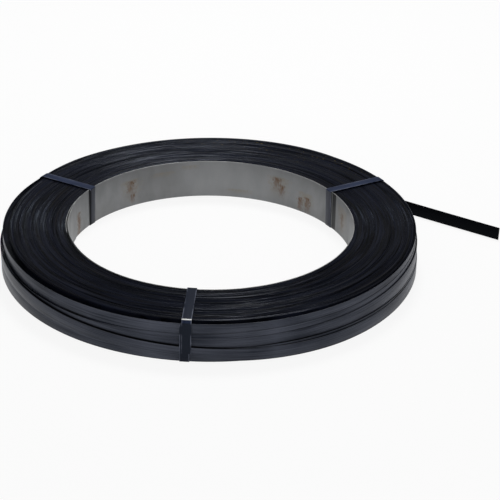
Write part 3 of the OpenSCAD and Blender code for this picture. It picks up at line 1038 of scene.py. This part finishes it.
# %% The ties
LACQUER_SLACK = 0.02 * MM
TIE_EDGE = 0.1 * MM
TIES = {
    "tie_front": (264.7, 265.5, 288.0, (292.0, 54.8), (296.35, 26.0), 295.1),
    "tie_left": (150.0, 150.0, 287.2, (290.6, 55.4), (295.95, 33.5), 295.2),
    "tie_right": (32.3, 31.5, 292.0, (292.7, 55.8), (293.95, 21.0), 293.7),
}
for name, route in TIES.items():
    mesh = band_mesh(name + "_strap", tie_path(*route), TIE_W, TIE_T - LACQUER_SLACK, tie_black, TIE_EDGE)
    show(name + "_strap", mesh, name)

# %% [markdown]
# The floor is pale and plain. What the camera and reflections see of it is lifted to white, but it still
# takes the coil's shadow.

# %% Floor
FLOOR_HALF = 8.0
FLOOR_GREY = (0.9, 0.9, 0.9, 1)
SEEN_WHITE = 0.88
floor_mesh = bpy.data.meshes.new("floor")
corners = [(x * FLOOR_HALF, y * FLOOR_HALF, 0) for x, y in ((-1, -1), (1, -1), (1, 1), (-1, 1))]
floor_mesh.from_pydata(corners, [], [(0, 1, 2, 3)])
floor = bpy.data.objects.new("floor", floor_mesh)
bpy.context.scene.collection.objects.link(floor)
pale = bpy.data.materials.new("pale_floor")
pale.use_nodes = True
tree = pale.node_tree
tree.nodes.clear()
rays = put(tree, "ShaderNodeLightPath").outputs
seen = calc(tree, "ADD", rays["Is Camera Ray"], rays["Is Glossy Ray"], rays["Is Transmission Ray"])
lifted = calc(tree, "MULTIPLY", calc(tree, "MINIMUM", seen, 1), SEEN_WHITE)
dull = put(tree, "ShaderNodeBsdfDiffuse", None, {"Color": FLOOR_GREY})
white = put(tree, "ShaderNodeEmission", None, {"Color": (1, 1, 1, 1), "Strength": 1.0})
mixed = put(tree, "ShaderNodeMixShader", None, {0: lifted, 1: dull.outputs[0], 2: white.outputs[0]})
put(tree, "ShaderNodeOutputMaterial", None, {"Surface": mixed.outputs[0]})
floor_mesh.materials.append(pale)
print("floor", FLOOR_HALF * 2, "m")

# %% [markdown]
# The room is a plain grey, lighter straight above than at eye level, so that the black turns reflect
# something dark where we see them at a slant.

# %% World
AT_EYE_LEVEL, OVERHEAD = 0.16, 0.56
world = bpy.data.worlds.new("studio")
bpy.context.scene.world = world
world.use_nodes = True
tree = world.node_tree
tree.nodes.clear()
upward = parts_of(tree, put(tree, "ShaderNodeTexCoord").outputs["Generated"])[2]
glow = ramp(tree, calc(tree, "MULTIPLY", upward, upward), 0.0, 1.0, AT_EYE_LEVEL, OVERHEAD)
sky = put(tree, "ShaderNodeBackground", None, {"Color": (1, 1, 1, 1), "Strength": glow})
put(tree, "ShaderNodeOutputWorld", None, {"Surface": sky.outputs[0]})
print("world from", AT_EYE_LEVEL, "to", OVERHEAD)

# %% [markdown]
# Three soft boxes carry the light: one high up behind the coil, a wide fill in front, and a low bluish
# one behind on the left, which draws the sheen across the turns.

# %% Lamps
def soft_box(name, place, size, power, colour=(1, 1, 1)):
    """An area lamp that points at the middle of the coil."""
    lamp = bpy.data.lights.new(name, "AREA")
    lamp.shape = "RECTANGLE"
    lamp.size, lamp.size_y = size
    lamp.energy = power
    lamp.color = colour
    holder = bpy.data.objects.new(name, lamp)
    holder.location = place
    holder.rotation_euler = (-Vector(place)).to_track_quat("-Z", "Y").to_euler()
    bpy.context.scene.collection.objects.link(holder)


soft_box("overhead", (0.13, 1.04, 1.82), (0.55, 0.55), 22)
soft_box("front_fill", (0.3, -2.2, 1.0), (1.5, 1.0), 11)
soft_box("back_left", (-1.2, 2.1, 0.5), (0.6, 0.4), 2.2, (0.72, 0.84, 1.0))

# %% [markdown]
# The camera stands where the photograph was taken from: 27 degrees above the floor and far off with a
# long lens. These numbers were fitted to the ellipses of the rim and the bore.

# %% Camera
LENS_PX, IMAGE_PX, SENSOR = 2003.38, 500, 36
ELEVATION, ROLL = math.radians(27.20), math.radians(1.05)
DISTANCE, SHIFT_X, SHIFT_Y = 2.85879, -0.05711, -0.01047
forward = Vector((0, math.cos(ELEVATION), -math.sin(ELEVATION)))
level = Vector((1, 0, 0))
upright = Vector((0, math.sin(ELEVATION), math.cos(ELEVATION)))
right = level * math.cos(ROLL) + upright * math.sin(ROLL)
up = upright * math.cos(ROLL) - level * math.sin(ROLL)
camera_data = bpy.data.cameras.new("camera")
camera_data.sensor_width = SENSOR
camera_data.lens = LENS_PX * SENSOR / IMAGE_PX
camera = bpy.data.objects.new("camera", camera_data)
stand = Matrix((right, up, -forward)).transposed().to_4x4()
stand.translation = Vector((0, 0, FLOOR_OF_COIL)) - forward * DISTANCE - right * SHIFT_X - up * SHIFT_Y
camera.matrix_world = stand
bpy.context.scene.collection.objects.link(camera)
bpy.context.scene.camera = camera
bpy.context.scene.view_settings.view_transform = "Standard"
print("camera at", [round(v, 3) for v in camera.location])
